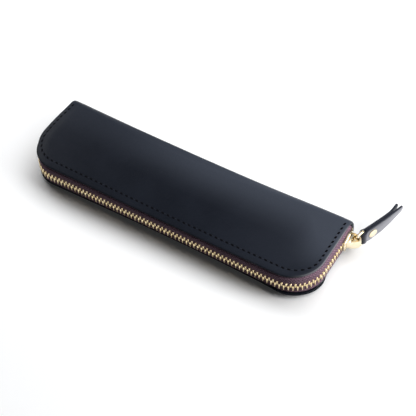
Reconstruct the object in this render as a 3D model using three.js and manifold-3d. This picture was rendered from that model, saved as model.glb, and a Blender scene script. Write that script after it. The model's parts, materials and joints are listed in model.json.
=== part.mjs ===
// Zippered leather pen case: one strip of hide folded round a spine and closed on its other
// three sides by a metal zip, with a cast slider, a link and a folded leather pull tab.
// Millimetres. +X runs along the case to the slider end, +Y to the spine, +Z up.
// The origin is the middle of the flat underside.
import * as THREE from "three";
import { mergeVertices } from "three/addons/utils/BufferGeometryUtils.js";
import Module from "manifold-3d";

const wasm = await Module();
wasm.setup();

// The case
const LENGTH = 195;
const WIDTH = 55;
const THICK = 18.5;
const LEATHER = 2;
const CORNER_R = 20; // plan radius of the two corners on the long zip side
const FOLD_R = 5; // outside radius of the two folds that make the spine
const FOLD_CUT = 43; // degrees of each fold that belong to the panel, short of its middle
const MID_Z = THICK / 2;
const FOLD_Y = WIDTH / 2 - FOLD_R;

// The seam that holds the tapes
const SEAM_IN = 4.2; // distance from the leather's edge
const GROOVE_WIDE = 0.9;
const GROOVE_DEEP = 0.6;
const THREAD_WIDE = 0.64;
const THREAD_THICK = 0.44;

// The zip: a tooth row on the corded edge of each tape
const CHAIN_OUT = -0.2; // middle plane of the chain, from the leather's edge outwards
const PITCH = 2.54;
const TOOTH_TOP = 2.1; // from the chain's middle line to the tooth's foot
const TOOTH_TIP = -0.6; // the head reaches this far past the middle line
const TOOTH_NECK = 0.6;
const TOOTH_WIDE = 1.22;
const TOOTH_THICK = 2;
const CORD_LOW = 1.1;
const CORD_HIGH = 2;
const CORD_THICK = 1;
const TAPE_THICK = 0.7;
const TAPE_EDGE = 2.35; // free edge of the tape, from the chain's middle line
const TAPE_BEND = 1.2; // the tape turns in under the leather round this radius
const TAPE_FLAT_Z = 16;
const TAPE_STRAIGHT = TAPE_FLAT_Z - MID_Z - TAPE_BEND - TAPE_EDGE; // from the free edge to the bend
const TAPE_UNDER = 9; // how far the tape reaches in under the leather
const TAPE_TRIM = 2.6; // at its ends the tape is trimmed to this width, clear of the folds
const END_Y = 25.1; // both ends of the zip, just inside the spine
const BOTTOM_STOP_ROOM = 6.6; // from the path's start to the first tooth
const TOP_STOP_ROOM = 2.2; // from the last tooth to the path's end
const TRIM_Y = 22;

// The slider and where it parts the two rows
const SLIDER_Y = 18.5;
const SLIDER_LONG = 10.4;
const SLIDER_REAR = 4; // half its height at the rear
const SLIDER_FLARE = 5.3; // half its height where the rows part
const PLATE = 1.1;
const CHANNEL = 1.16; // half the space between the slider's plates
const SLIT = 0.7; // half the slit that the tape runs through
const SPREAD = 1.7; // how far the open rows stand from their closed place
const SPREAD_FROM = -3.4;
const SPREAD_TO = 3.8;
const BAIL_WIDE = 4.8;
const BAIL_REAR = -3.2; // the bail's feet, from the slider's middle
const BAIL_FRONT = 4.7;
const BAIL_STRAP = 1.1; // thickness of the bail at its feet

// The link and the pull tab, in plan angles from +X
const LINK_ANGLE = 76;
const LINK_REACH = 4.74;
const LINK_BAR = 1.44;
const LINK_CHAMFER = 0.36;
const LINK_HIGH = 12.6;
const PIN_OUT = 6.3; // the link's bar under the bail, from the chain's middle plane
const PIN_AHEAD = 2.1; // the same bar, from the slider's middle
const TAB_START = 67;
const TAB_END = 85;
const TAB_LONG = 31;
const TAB_WIDE = 10.5;
const TAB_WAIST = 9; // where it passes through the link
const TAB_TIP_WIDE = 3.6;
const TAB_TAPER = 26.5; // from its widest place to the tips
const TAB_LAYER = 1.3;
const LOOP_R = 0.98; // inside of the loop round the link's far bar
const LOOP_LONG = 2.6; // the layers meet this far from the link's far bar
const LAYER_GAP = 0.16; // half the gap between the two layers
const RIVET_AT = 6; // along the tab, from the link's far bar
const RIVET_HEAD_R = 2.7;
const RIVET_SHANK_R = 1.2;
const RIVET_CROWN = 1;
const FIT_GAP = 0.15;

const COLOURS = { leather: 0x22262e, tape: 0x4a3a48, brass: 0xc9a45c, gold: 0xe6c878, thread: 0x15181e };

// Lengths along the zip's path, measured on the chain's middle plane
const CHAIN_R = CORNER_R + CHAIN_OUT;
const CORNER_Y = -WIDTH / 2 + CORNER_R;
const END_RUN = END_Y - CORNER_Y;
const ARC_RUN = (Math.PI / 2) * CHAIN_R;
const LONG_RUN = LENGTH - 2 * CORNER_R;
const RIGHT_RUN = END_RUN + 2 * ARC_RUN + LONG_RUN; // where the right end's straight stretch starts
const PATH_RUN = RIGHT_RUN + END_RUN;

const part = new THREE.Group();
part.name = "zippered_pen_case";

function addMesh(name, geometry, colour, metalness, roughness) {
  const material = new THREE.MeshStandardMaterial({ color: colour, metalness, roughness });
  const mesh = new THREE.Mesh(geometry, material);
  mesh.name = name;
  part.add(mesh);
}

// Solids and booleans

function toSolid(geometry) {
  const bare = geometry.clone();
  bare.deleteAttribute("normal");
  bare.deleteAttribute("uv");
  const merged = mergeVertices(bare, 1e-4);
  const vertProperties = new Float32Array(merged.attributes.position.array);
  const triVerts = new Uint32Array(merged.index.array);
  return new wasm.Manifold(new wasm.Mesh({ numProp: 3, vertProperties, triVerts }));
}

function toGeometry(solid) {
  const mesh = solid.getMesh();
  const geometry = new THREE.BufferGeometry();
  geometry.setAttribute("position", new THREE.BufferAttribute(mesh.vertProperties, 3));
  geometry.setIndex(new THREE.BufferAttribute(mesh.triVerts, 1));
  geometry.computeVertexNormals();
  return geometry;
}

function extrude(shape, depth, curveSegments = 6) {
  return new THREE.ExtrudeGeometry(shape, { depth, bevelEnabled: false, curveSegments });
}

function polygon(points) {
  return new THREE.Shape(points.map(([x, y]) => new THREE.Vector2(x, y)));
}

// A shape drawn in (Y, Z) and extruded along +X from `fromX`.
function extrudeAlongX(shape, fromX, depth, curveSegments) {
  const geometry = extrude(shape, depth, curveSegments);
  const [x, y, z] = [new THREE.Vector3(1, 0, 0), new THREE.Vector3(0, 1, 0), new THREE.Vector3(0, 0, 1)];
  return geometry.applyMatrix4(new THREE.Matrix4().makeBasis(y, z, x)).translate(fromX, 0, 0);
}

// A closed solid through a row of loops of equally many points, with flat ends. A loop runs up one
// side of its section and down the other, so each end is closed by strips between the two sides.
function loft(loops) {
  const count = loops[0].length;
  const last = (loops.length - 1) * count;
  const index = [];
  for (let ring = 0; ring < last; ring += count) {
    for (let i = 0; i < count; i++) {
      const a = ring + i;
      const b = ring + ((i + 1) % count);
      index.push(a, b, b + count, a, b + count, a + count);
    }
  }
  for (let i = 0; i + 1 < count / 2; i++) {
    const [a, b, c, d] = [i, i + 1, count - 2 - i, count - 1 - i];
    index.push(a, c, b, a, d, c, last + a, last + b, last + c, last + a, last + c, last + d);
  }
  const geometry = new THREE.BufferGeometry().setFromPoints(loops.flat());
  geometry.setIndex(index);
  return geometry;
}

// The zip's path

// The leather's edge at a length along the path, and the plan angle that points outwards there.
function edgeAt(along) {
  const cornerX = LENGTH / 2 - CORNER_R;
  let rest = along;
  if (rest <= END_RUN) return { x: -LENGTH / 2, y: END_Y - rest, facing: Math.PI };
  rest -= END_RUN;
  if (rest <= ARC_RUN) return cornerAt(-cornerX, Math.PI + rest / CHAIN_R);
  rest -= ARC_RUN;
  if (rest <= LONG_RUN) return { x: -cornerX + rest, y: -WIDTH / 2, facing: 1.5 * Math.PI };
  rest -= LONG_RUN;
  if (rest <= ARC_RUN) return cornerAt(cornerX, 1.5 * Math.PI + rest / CHAIN_R);
  return { x: LENGTH / 2, y: CORNER_Y + rest - ARC_RUN, facing: 2 * Math.PI };
}

function cornerAt(centreX, facing) {
  const x = centreX + CORNER_R * Math.cos(facing);
  return { x, y: CORNER_Y + CORNER_R * Math.sin(facing), facing };
}

function onPath(along, out, z) {
  const edge = edgeAt(along);
  const x = edge.x + out * Math.cos(edge.facing);
  return new THREE.Vector3(x, edge.y + out * Math.sin(edge.facing), z);
}

// Heights are given for the upper half; side -1 gives the mirrored lower half.
function heightOn(side, height) {
  return MID_Z + side * height;
}

// Lengths at which a sweep needs a section: its two ends, and steps round the corners and the spread.
function stations(from, to, cornerSteps = 10) {
  const list = [from, to];
  for (const start of [END_RUN, END_RUN + ARC_RUN + LONG_RUN]) {
    for (let i = 0; i <= cornerSteps; i++) list.push(start + (ARC_RUN * i) / cornerSteps);
  }
  const spreadSteps = 5;
  const spreadStep = (SPREAD_TO - SPREAD_FROM) / spreadSteps;
  const spreadStart = RIGHT_RUN + SLIDER_Y + SPREAD_FROM - CORNER_Y;
  for (let i = 0; i <= spreadSteps; i++) list.push(spreadStart + i * spreadStep);
  const trim = END_Y - TRIM_Y;
  list.push(trim, 2 * trim, PATH_RUN - trim, PATH_RUN - 2 * trim);
  const inside = list.filter((along) => along >= from && along <= to).sort((a, b) => a - b);
  return inside.filter((along, i) => i === 0 || along - inside[i - 1] > 0.05);
}

// Sweeps a section along the path. `sectionAt` gives [out, height] pairs at a length.
function sweep(from, to, side, sectionAt) {
  return loft(
    stations(from, to).map((along) => {
      const loop = sectionAt(along).map(([out, height]) => onPath(along, out, heightOn(side, height)));
      return side > 0 ? loop : loop.reverse();
    }),
  );
}

// How far the rows stand apart: nothing where the zip is closed, SPREAD ahead of the slider's wedge.
function spreadAt(along) {
  const fromSlider = along - RIGHT_RUN + CORNER_Y - SLIDER_Y;
  return SPREAD * THREE.MathUtils.smoothstep(fromSlider, SPREAD_FROM, SPREAD_TO);
}

// The hide: two panels and the spine between them

function planOutline() {
  const [x, y] = [LENGTH / 2, WIDTH / 2];
  const shape = new THREE.Shape();
  shape.moveTo(x, y);
  shape.lineTo(-x, y);
  shape.lineTo(-x, CORNER_Y);
  shape.absarc(-x + CORNER_R, CORNER_Y, CORNER_R, Math.PI, 1.5 * Math.PI, false);
  shape.absarc(x - CORNER_R, CORNER_Y, CORNER_R, 1.5 * Math.PI, 2 * Math.PI, false);
  return shape;
}

// The bottom panel's section: the flat, then the first part of the fold.
function bottomSection() {
  const start = -Math.PI / 2;
  const end = start + THREE.MathUtils.degToRad(FOLD_CUT);
  const shape = new THREE.Shape();
  shape.moveTo(-WIDTH / 2, 0);
  shape.lineTo(FOLD_Y, 0);
  shape.absarc(FOLD_Y, FOLD_R, FOLD_R, start, end, false);
  shape.absarc(FOLD_Y, FOLD_R, FOLD_R - LEATHER, end, start, true);
  shape.lineTo(-WIDTH / 2, LEATHER);
  return shape;
}

// The spine's section: the rest of both folds and the flat between them.
function spineSection() {
  const low = -THREE.MathUtils.degToRad(FOLD_CUT);
  const high = THREE.MathUtils.degToRad(FOLD_CUT);
  const topZ = THICK - FOLD_R;
  const shape = new THREE.Shape();
  shape.absarc(FOLD_Y, FOLD_R, FOLD_R, low, 0, false);
  shape.absarc(FOLD_Y, topZ, FOLD_R, 0, high, false);
  shape.absarc(FOLD_Y, topZ, FOLD_R - LEATHER, high, 0, true);
  shape.absarc(FOLD_Y, FOLD_R, FOLD_R - LEATHER, 0, low, true);
  return shape;
}

function groove(side) {
  const [near, far] = [-SEAM_IN - GROOVE_WIDE / 2, -SEAM_IN + GROOVE_WIDE / 2];
  const [low, high] = [MID_Z - GROOVE_DEEP, MID_Z + LEATHER];
  return sweep(0, PATH_RUN, side, () => [[near, low], [near, high], [far, high], [far, low]]);
}

function panel(side) {
  const flat = extrudeAlongX(bottomSection(), -LENGTH / 2, LENGTH);
  const outline = extrude(planOutline(), THICK, 10);
  let hide = toSolid(flat).intersect(toSolid(outline));
  if (side > 0) hide = hide.mirror([0, 0, 1]).translate([0, 0, THICK]);
  return toGeometry(hide.subtract(toSolid(groove(side))));
}

function seamThread(side) {
  const [near, far] = [-SEAM_IN - THREAD_WIDE / 2, -SEAM_IN + THREAD_WIDE / 2];
  const low = MID_Z - GROOVE_DEEP + 0.08;
  const high = low + THREAD_THICK;
  return sweep(2, PATH_RUN - 2, side, () => [[near, low], [near, high], [far, high], [far, low]]);
}

// The zip

// Middle line of a tape's section, as a point and its direction, at a width from the closed free edge:
// straight up beside the chain, round the bend, then flat in under the leather.
function tapeLine(width) {
  const bendRun = (Math.PI / 2) * TAPE_BEND;
  const turn = THREE.MathUtils.clamp((width - TAPE_STRAIGHT) / TAPE_BEND, 0, Math.PI / 2);
  const rise = TAPE_EDGE + Math.min(width, TAPE_STRAIGHT) + TAPE_BEND * Math.sin(turn);
  const inwards = TAPE_BEND * (1 - Math.cos(turn)) + Math.max(0, width - TAPE_STRAIGHT - bendRun);
  return { out: CHAIN_OUT - inwards, height: rise, turn };
}

function tapeSection(along) {
  const fullWidth = TAPE_STRAIGHT + (Math.PI / 2 - 1) * TAPE_BEND + CHAIN_OUT + TAPE_UNDER;
  const fromEnd = Math.min(along, PATH_RUN - along);
  const trim = END_Y - TRIM_Y;
  const untrimmed = THREE.MathUtils.smoothstep(fromEnd, trim, 2 * trim);
  const start = spreadAt(along);
  const end = THREE.MathUtils.lerp(TAPE_TRIM, fullWidth, untrimmed);
  const half = TAPE_THICK / 2;
  const [outer, inner] = [[], []];
  for (const share of [0, 0.2, 0.25, 0.3, 0.35, 0.4, 1]) {
    const { out, height, turn } = tapeLine(THREE.MathUtils.lerp(start, end, share));
    outer.push([out + half * Math.cos(turn), height + half * Math.sin(turn)]);
    inner.push([out - half * Math.cos(turn), height - half * Math.sin(turn)]);
  }
  return [...inner, ...outer.reverse()];
}

function tape(side) {
  return sweep(0, PATH_RUN, side, tapeSection);
}

// One tooth: a foot that grips the cord, a straight body and a head that narrows to its tip.
function tooth(along, side) {
  const { facing } = edgeAt(along);
  const lift = spreadAt(along);
  const levels = [[TOOTH_TIP, 0.74, 0.72], [TOOTH_NECK, 1, 1], [TOOTH_TOP, 0.9, 0.86]];
  const loops = levels.map(([height, wide, thick]) => {
    const [w, t] = [(TOOTH_WIDE * wide) / 2, (TOOTH_THICK * thick) / 2];
    const corners = [[-w, -t], [-w, t], [w, t], [w, -t]].map(([sideways, out]) => {
      const point = onPath(along, CHAIN_OUT + out, heightOn(side, height + lift));
      return point.add(new THREE.Vector3(-Math.sin(facing), Math.cos(facing), 0).multiplyScalar(sideways));
    });
    return side > 0 ? corners : corners.reverse();
  });
  return loft(loops);
}

// The corded edge of a tape with the teeth clamped on it at an even pitch.
function toothRow(side, first, count) {
  const [near, far] = [CHAIN_OUT - CORD_THICK / 2, CHAIN_OUT + CORD_THICK / 2];
  const margin = PITCH / 2 - FIT_GAP;
  const cord = sweep(first - margin, first + (count - 1) * PITCH + margin, side, (along) => {
    const lift = spreadAt(along);
    const [low, high] = [CORD_LOW + lift, CORD_HIGH + lift];
    return [[near, low], [near, high], [far, high], [far, low]];
  });
  let row = toSolid(cord);
  for (let i = 0; i < count; i++) row = row.add(toSolid(tooth(first + i * PITCH, side)));
  return toGeometry(row);
}

// Each row is one run of teeth up to the slider's reach and a second run within it.
function addToothRows(name, side) {
  const first = side > 0 ? BOTTOM_STOP_ROOM : BOTTOM_STOP_ROOM + PITCH / 2;
  const mainCount = Math.floor((RIGHT_RUN - first) / PITCH);
  const endFirst = first + mainCount * PITCH;
  const endCount = Math.floor((PATH_RUN - TOP_STOP_ROOM - endFirst) / PITCH) + 1;
  addMesh(name + "_teeth", toothRow(side, first, mainCount), COLOURS.brass, 1, 0.35);
  addMesh(name + "_end_teeth", toothRow(side, endFirst, endCount), COLOURS.brass, 1, 0.35);
}

// A clip bent over a tape's edge, which keeps the slider on the row.
function topStop(side) {
  const [half, slot, low, high] = [1, 0.62, TAPE_EDGE - 1.3 + SPREAD, TAPE_EDGE + 0.6 + SPREAD];
  const floor = TAPE_EDGE - 0.25 + SPREAD;
  const block = (wide, bottom) => {
    const [near, far] = [CHAIN_OUT - wide, CHAIN_OUT + wide];
    const section = [[near, bottom], [near, high], [far, high], [far, bottom]];
    return toSolid(sweep(PATH_RUN - 1.2, PATH_RUN - 0.3, side, () => section));
  };
  return toGeometry(block(half, low).subtract(block(slot, floor)));
}

// The block at the other end that joins both tapes' edges.
function bottomStop() {
  const [half, slot, reach, floor] = [1, 0.6, TAPE_EDGE + 0.9, TAPE_EDGE - 0.35];
  const block = (wide, from, to) => {
    const [near, far] = [CHAIN_OUT - wide, CHAIN_OUT + wide];
    return toSolid(sweep(0.5, 3.2, 1, () => [[near, from], [near, to], [far, to], [far, from]]));
  };
  const cut = block(half, -reach, reach).subtract(block(slot, floor, reach + 1));
  return toGeometry(cut.subtract(block(slot, -reach - 1, -floor)));
}

// The slider, drawn about its own middle with Y along the zip and Z across it

function sliderOutline() {
  const [rear, front] = [-SLIDER_LONG / 2, SLIDER_LONG / 2];
  const [low, flare, flareAt, nose] = [SLIDER_REAR, SLIDER_FLARE, 1.6, 2.8];
  const shape = new THREE.Shape();
  shape.moveTo(rear, 1 - low);
  shape.quadraticCurveTo(rear, -low, rear + 0.9, -low);
  shape.lineTo(-2.6, -low);
  shape.bezierCurveTo(-0.8, -low, -0.4, -flare, flareAt, -flare);
  shape.bezierCurveTo(flareAt + 2, -flare, front, -nose - 1.4, front, -nose);
  shape.quadraticCurveTo(front - 0.2, -1, front - 0.8, 0);
  shape.quadraticCurveTo(front - 0.2, 1, front, nose);
  shape.bezierCurveTo(front, nose + 1.4, flareAt + 2, flare, flareAt, flare);
  shape.bezierCurveTo(-0.4, flare, -0.8, low, -2.6, low);
  shape.lineTo(rear + 0.9, low);
  shape.quadraticCurveTo(rear, low, rear, low - 1);
  return shape;
}

// The Y-shaped space between the plates: one mouth at the rear, two at the front.
function sliderChannel() {
  const rearHalf = TOOTH_TOP + 0.28;
  const frontHalf = rearHalf + SPREAD;
  const [past, bendFrom, bendTo] = [SLIDER_LONG / 2 + 1, SPREAD_FROM + 0.8, SPREAD_TO - 1.6];
  return polygon([
    [-past, -rearHalf], [bendFrom, -rearHalf], [bendTo, -frontHalf], [past, -frontHalf],
    [past, frontHalf], [bendTo, frontHalf], [bendFrom, rearHalf], [-past, rearHalf],
  ]);
}

// The post between the plates that wedges the rows apart.
function sliderWedge() {
  const [point, shoulder, nose] = [0.8, SPREAD_TO - 0.8, SLIDER_LONG / 2 - 1];
  const [thin, wide] = [0.12, 0.78];
  return polygon([
    [point, -thin], [shoulder, -wide], [nose, -wide],
    [nose, wide], [shoulder, wide], [point, thin],
  ]);
}

// The strap over the outer plate that holds the link, drawn in plan. It leans towards the front.
function sliderBail() {
  const foot = CHANNEL + PLATE - 0.2;
  const [rear, front] = [BAIL_REAR, BAIL_FRONT];
  const [innerRear, innerFront] = [rear + BAIL_STRAP, front - BAIL_STRAP];
  const shape = new THREE.Shape();
  shape.moveTo(foot, rear);
  shape.bezierCurveTo(foot + 7.3, rear + 2.2, foot + 9.9, front + 0.6, foot, front);
  shape.lineTo(foot, innerFront);
  shape.bezierCurveTo(foot + 8.2, innerFront + 0.6, foot + 6.2, innerRear + 1.7, foot, innerRear);
  return shape;
}

function sliderBody() {
  const outer = CHANNEL + PLATE;
  const reach = SLIDER_LONG;
  const slitBox = polygon([[-reach, -reach], [reach, -reach], [reach, reach], [-reach, reach]]);
  const block = toSolid(extrudeAlongX(sliderOutline(), -outer, 2 * outer, 5));
  const channel = toSolid(extrudeAlongX(sliderChannel(), -CHANNEL, 2 * CHANNEL));
  const slit = toSolid(extrudeAlongX(slitBox, -SLIT, 2 * SLIT));
  const wedge = toSolid(extrudeAlongX(sliderWedge(), -CHANNEL - 0.1, 2 * CHANNEL + 0.2));
  const bail = toSolid(extrude(sliderBail(), BAIL_WIDE, 9).translate(0, 0, -BAIL_WIDE / 2));
  const body = block.subtract(channel).subtract(slit).add(wedge).add(bail);
  return toGeometry(body).translate(LENGTH / 2 + CHAIN_OUT, SLIDER_Y, MID_Z);
}

// The pull

const PIN = new THREE.Vector3(LENGTH / 2 + CHAIN_OUT + PIN_OUT, SLIDER_Y + PIN_AHEAD, MID_Z);
const FAR_BAR = PIN.clone().add(planDirection(LINK_ANGLE).multiplyScalar(LINK_REACH));

function planDirection(degrees) {
  const angle = THREE.MathUtils.degToRad(degrees);
  return new THREE.Vector3(Math.cos(angle), Math.sin(angle), 0);
}

function roundedBox(path, low, high, radius) {
  path.moveTo(low.x + radius, low.y);
  path.absarc(high.x - radius, low.y + radius, radius, -Math.PI / 2, 0, false);
  path.absarc(high.x - radius, high.y - radius, radius, 0, Math.PI / 2, false);
  path.absarc(low.x + radius, high.y - radius, radius, Math.PI / 2, Math.PI, false);
  path.absarc(low.x + radius, low.y + radius, radius, Math.PI, 1.5 * Math.PI, false);
  return path;
}

// A closed flat ring that runs under the bail and through the tab's loop.
function pullLink() {
  const corner = new THREE.Vector2(LINK_REACH + LINK_BAR / 2, LINK_HIGH / 2);
  const inner = corner.clone().subScalar(LINK_BAR);
  const shape = roundedBox(new THREE.Shape(), new THREE.Vector2(-LINK_BAR / 2, -corner.y), corner, 1.4);
  shape.holes.push(roundedBox(new THREE.Path(), new THREE.Vector2(LINK_BAR / 2, -inner.y), inner, 0.5));
  const along = planDirection(LINK_ANGLE);
  const across = planDirection(LINK_ANGLE - 90);
  const frame = new THREE.Matrix4().makeBasis(along, new THREE.Vector3(0, 0, 1), across).setPosition(PIN);
  const bevel = { bevelThickness: LINK_CHAMFER, bevelSize: LINK_CHAMFER, bevelOffset: -LINK_CHAMFER };
  const depth = LINK_BAR - 2 * LINK_CHAMFER;
  const ring = new THREE.ExtrudeGeometry(shape, { depth, ...bevel, bevelSegments: 1, curveSegments: 3 });
  return toGeometry(toSolid(ring.translate(0, 0, -depth / 2).applyMatrix4(frame)));
}

// The tab's middle line in plan: it leaves the link outwards and bends round towards the spine's side.
function tabLine(length) {
  const steps = 16;
  const point = FAR_BAR.clone();
  for (let i = 0; i < steps; i++) {
    const share = ((i + 0.5) * length) / steps / TAB_LONG;
    point.add(planDirection(tabAngle(share)).multiplyScalar(length / steps));
  }
  return point;
}

function tabAngle(share) {
  return THREE.MathUtils.lerp(TAB_START, TAB_END, THREE.MathUtils.smoothstep(share, 0.3, 0.95));
}

function besideTab(length, offset) {
  const across = planDirection(tabAngle(length / TAB_LONG) - 90);
  return tabLine(length).addScaledVector(across, offset);
}

// Half the gap between the layers: the loop at the link, closed at the rivet, a little open at the tip.
function layerGap(length) {
  const loop = LOOP_R * (1 - THREE.MathUtils.smoothstep(length, 0, LOOP_LONG));
  const tip = 0.5 * THREE.MathUtils.smoothstep(length, TAB_LONG * 0.6, TAB_LONG);
  return LAYER_GAP + (1 - LAYER_GAP / LOOP_R) * loop + tip;
}

// One strip folded round the link's bar, so the plan outline goes out and back on both layers.
function tabOutline() {
  const lengths = Array.from({ length: 13 }, (_, i) => (TAB_LONG * (i / 12) ** 1.25));
  const layerSide = (hand, depth) =>
    lengths.map((length) => besideTab(length, hand * (layerGap(length) + depth)));
  const bend = (radius, from, to) =>
    Array.from({ length: 7 }, (_, i) => {
      const angle = TAB_START + THREE.MathUtils.lerp(from, to, (i + 1) / 8);
      return FAR_BAR.clone().addScaledVector(planDirection(angle), radius);
    });
  const points = [
    ...layerSide(1, TAB_LAYER).reverse(),
    ...bend(LOOP_R + TAB_LAYER, -90, -270),
    ...layerSide(-1, TAB_LAYER),
    ...layerSide(-1, 0).reverse(),
    ...bend(LOOP_R, 90, 270),
    ...layerSide(1, 0),
  ];
  return polygon(points.map(({ x, y }) => [x, y]).reverse());
}

// The strip seen from its broad side: widest soon after the link, then tapering to a rounded tip.
function tabSide() {
  const [waist, wide, tip] = [TAB_WAIST / 2, TAB_WIDE / 2, TAB_TIP_WIDE / 2];
  const widest = TAB_LONG - TAB_TAPER;
  const easing = widest + TAB_TAPER * 0.4;
  const end = TAB_LONG * 0.985;
  const shape = new THREE.Shape();
  shape.moveTo(-TAB_LONG, -waist);
  shape.lineTo(1.6, -waist);
  shape.quadraticCurveTo(widest * 0.6, -wide, widest, -wide);
  shape.quadraticCurveTo(easing, -wide * 0.84, end - 1.2, -tip);
  shape.quadraticCurveTo(end + 0.4, -tip * 0.6, end + 0.4, 0);
  shape.quadraticCurveTo(end + 0.4, tip * 0.6, end - 1.2, tip);
  shape.quadraticCurveTo(easing, wide * 0.84, widest, wide);
  shape.quadraticCurveTo(widest * 0.6, wide, 1.6, waist);
  shape.lineTo(-TAB_LONG, waist);
  return shape;
}

// Frame of the rivet: across the layers at its place on the tab, pointing to the outer face.
function rivetFrame() {
  const angle = tabAngle(RIVET_AT / TAB_LONG);
  const across = planDirection(angle - 90);
  const frame = new THREE.Matrix4().makeBasis(planDirection(angle), across, new THREE.Vector3(0, 0, 1));
  return frame.scale(new THREE.Vector3(1, 1, -1)).setPosition(tabLine(RIVET_AT));
}

function lathe(points, segments = 18) {
  return new THREE.LatheGeometry(points.map(([r, y]) => new THREE.Vector2(r, y)), segments);
}

function pullTab() {
  const reach = 2 * TAB_LONG;
  const up = new THREE.Vector3(0, 0, 1);
  const along = tabLine(TAB_LONG).sub(FAR_BAR).normalize();
  const across = along.clone().cross(up);
  const frame = new THREE.Matrix4().makeBasis(along, up, across).setPosition(FAR_BAR);
  const side = extrude(tabSide(), reach, 4).translate(0, 0, -reach / 2).applyMatrix4(frame);
  const strip = extrude(tabOutline(), TAB_WIDE).translate(0, 0, MID_Z - TAB_WIDE / 2);
  const hole = lathe([[0, -5], [RIVET_SHANK_R + 0.3, -5], [RIVET_SHANK_R + 0.3, 5], [0, 5]], 12);
  const holed = toSolid(strip).intersect(toSolid(side)).subtract(toSolid(hole.applyMatrix4(rivetFrame())));
  return toGeometry(holed);
}

// Outer face of a layer at the rivet, from the tab's middle line.
const RIVET_FACE = layerGap(RIVET_AT) + TAB_LAYER + FIT_GAP;

function rivetPost() {
  const crown = -RIVET_FACE - RIVET_CROWN * 0.7;
  const shankEnd = RIVET_FACE - 0.2;
  const profile = [
    [0, crown], [RIVET_HEAD_R * 0.55, crown + 0.12], [RIVET_HEAD_R * 0.92, -RIVET_FACE - 0.35],
    [RIVET_HEAD_R, -RIVET_FACE], [RIVET_SHANK_R, -RIVET_FACE], [RIVET_SHANK_R, shankEnd], [0, shankEnd],
  ];
  return lathe(profile).applyMatrix4(rivetFrame());
}

function rivetCap() {
  const crown = RIVET_FACE + RIVET_CROWN;
  const profile = [
    [0, RIVET_FACE], [RIVET_HEAD_R, RIVET_FACE], [RIVET_HEAD_R * 0.95, RIVET_FACE + 0.4],
    [RIVET_HEAD_R * 0.7, crown - 0.2], [RIVET_HEAD_R * 0.35, crown - 0.04], [0, crown],
  ];
  return lathe(profile).applyMatrix4(rivetFrame());
}

addMesh("bottom_panel", panel(-1), COLOURS.leather, 0, 0.55);
addMesh("top_panel", panel(1), COLOURS.leather, 0, 0.55);
addMesh("spine_panel", extrudeAlongX(spineSection(), -LENGTH / 2, LENGTH), COLOURS.leather, 0, 0.55);
for (const [name, side] of [["lower", -1], ["upper", 1]]) {
  addMesh(name + "_seam_thread", seamThread(side), COLOURS.thread, 0, 0.7);
  addMesh(name + "_tape", tape(side), COLOURS.tape, 0, 0.85);
  addToothRows(name, side);
  addMesh(name + "_top_stop", topStop(side), COLOURS.brass, 1, 0.35);
}
addMesh("bottom_stop", bottomStop(), COLOURS.brass, 1, 0.35);
addMesh("slider_body", sliderBody(), COLOURS.gold, 1, 0.15);
addMesh("pull_link", pullLink(), COLOURS.gold, 1, 0.15);
addMesh("pull_tab", pullTab(), COLOURS.leather, 0, 0.5);
addMesh("rivet_post", rivetPost(), COLOURS.gold, 1, 0.15);
addMesh("rivet_cap", rivetCap(), COLOURS.gold, 1, 0.15);

export default part;
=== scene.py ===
# %% [markdown]
# A zippered pen case in dark leather: one hide folded round a spine, closed on its other three sides
# by a brass zip. The imported CAD model is loaded first and stays where it is, because every piece that
# is made here takes its place and its motion from it. Its box is kept.

# %% The frame
import json
import math

import bmesh
import bpy
from mathutils import Matrix, Vector


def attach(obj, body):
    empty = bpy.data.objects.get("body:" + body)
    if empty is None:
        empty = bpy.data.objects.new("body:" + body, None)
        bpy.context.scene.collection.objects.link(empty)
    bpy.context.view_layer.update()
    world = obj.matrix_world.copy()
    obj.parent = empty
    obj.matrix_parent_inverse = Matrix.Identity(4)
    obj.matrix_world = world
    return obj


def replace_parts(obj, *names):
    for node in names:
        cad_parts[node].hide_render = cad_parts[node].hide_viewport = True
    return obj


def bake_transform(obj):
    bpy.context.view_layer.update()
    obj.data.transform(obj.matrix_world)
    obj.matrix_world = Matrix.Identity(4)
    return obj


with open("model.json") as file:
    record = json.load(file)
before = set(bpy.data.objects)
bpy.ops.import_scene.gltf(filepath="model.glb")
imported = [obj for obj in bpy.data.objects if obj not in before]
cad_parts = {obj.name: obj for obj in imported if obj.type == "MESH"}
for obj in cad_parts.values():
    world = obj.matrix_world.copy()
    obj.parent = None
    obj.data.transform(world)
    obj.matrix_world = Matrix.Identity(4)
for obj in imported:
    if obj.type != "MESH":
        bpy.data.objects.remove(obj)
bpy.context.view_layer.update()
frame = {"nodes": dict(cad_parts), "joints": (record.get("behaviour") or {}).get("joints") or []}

MM = 0.001
print("nodes loaded:", len(frame["nodes"]))

# %% [markdown]
# The driving sizes are those of the real case: a hide 2 mm thick, a size 5 zip whose chain runs in
# line with the leather's edge, and the corners and folds that set its outline. END_Y is where the zip
# ends near the spine, and SLIDER_Y where the slider stands. The places of the link's two bars are read
# from the joints, so they can't drift away from the CAD model.

# %% Sizes
LENGTH, WIDTH, THICK = 195 * MM, 55 * MM, 18.5 * MM
MID_Z = THICK / 2
LEATHER = 2 * MM
CORNER_R, FOLD_R = 20 * MM, 5 * MM
CORNER_Y = CORNER_R - WIDTH / 2
FOLD_Y = WIDTH / 2 - FOLD_R
FOLD_ARC = FOLD_R * math.pi / 2
SPINE_HALF = MID_Z - FOLD_R
CHAIN_OUT, PITCH = -0.2 * MM, 2.54 * MM
END_Y = 25.1 * MM
END_RUN = END_Y - CORNER_Y
LONG_RUN = LENGTH - 2 * CORNER_R
SLIDER_Y = 18.5 * MM
joint_at = {j["name"]: Vector(j["pos_m"]) for j in frame["joints"] if "pos_m" in j}
PIN, FAR_BAR = joint_at["link_swing"], joint_at["tab_swing"]
print("link bars at", PIN[:], FAR_BAR[:])

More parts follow.
